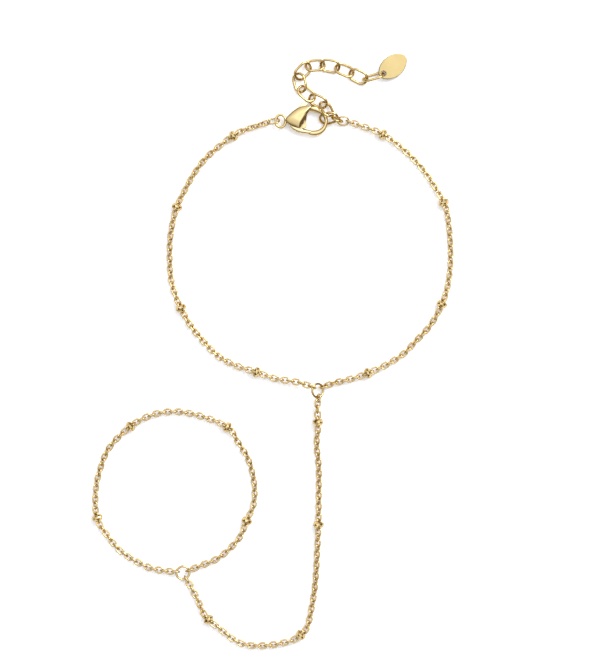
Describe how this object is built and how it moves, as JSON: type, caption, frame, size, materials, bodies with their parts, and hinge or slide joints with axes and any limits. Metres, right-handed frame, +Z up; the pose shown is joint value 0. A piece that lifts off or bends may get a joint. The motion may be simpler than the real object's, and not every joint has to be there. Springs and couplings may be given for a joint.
{
  "type": "hand chain bracelet",
  "caption": "Fine gold chain bracelet with faceted beads, joined by a chain over the hand to a finger loop, with lobster clasp, extender and blank oval tag.",
  "frame": {"origin": "on the surface that the bracelet lies on, below the middle of its bounding box", "axes": "+Z up from the surface; +Y from the finger loop towards the clasp; +X towards the right of the wrist loop, seen from above"},
  "size_m": [0.0686, 0.113, 0.0031],
  "materials": {
    "chain_gold": "polished gold plate",
    "bead_gold": "polished gold plate",
    "link_gold": "polished gold plate",
    "clasp_gold": "polished gold plate",
    "pin_gold": "polished gold plate",
    "tag_gold": "satin gold plate"
  },
  "bodies": {
    "bracelet": {"clasp_body": "clasp_gold", "clasp_pin": "pin_gold", "clasp_end_link": "link_gold", "wrist_chain_left": "chain_gold", "wrist_chain_right": "chain_gold", "hand_chain": "chain_gold", "finger_chain": "chain_gold", "wrist_ring": "link_gold", "finger_ring": "link_gold", "extender_end_link": "link_gold", "extender_ring": "link_gold", "wrist_bead_1": "bead_gold", "wrist_bead_2": "bead_gold", "wrist_bead_3": "bead_gold", "wrist_bead_4": "bead_gold", "wrist_bead_5": "bead_gold", "wrist_bead_6": "bead_gold", "wrist_bead_7": "bead_gold", "wrist_bead_8": "bead_gold", "hand_bead_1": "bead_gold", "hand_bead_2": "bead_gold", "hand_bead_3": "bead_gold", "hand_bead_4": "bead_gold", "finger_bead_1": "bead_gold", "finger_bead_2": "bead_gold", "finger_bead_3": "bead_gold", "finger_bead_4": "bead_gold", "extender_link_1": "link_gold", "extender_link_2": "link_gold", "extender_link_3": "link_gold", "extender_link_4": "link_gold", "extender_link_5": "link_gold", "extender_link_6": "link_gold", "extender_link_7": "link_gold", "extender_link_8": "link_gold", "extender_link_9": "link_gold", "extender_link_10": "link_gold", "tag_ring": "link_gold", "tag": "tag_gold"},
    "lever": {"clasp_lever": "clasp_gold"}
  },
  "joints": [
    {"name": "clasp_lever_hinge", "type": "hinge", "parent": "bracelet", "child": "lever", "pos_m": [0.0045, 0.0433, 0.00105], "axis": [0, 0, 1], "range_deg": [0, 24], "stiffness_Nm_per_rad": 0.00002, "springref_deg": -28.65}
  ]
}
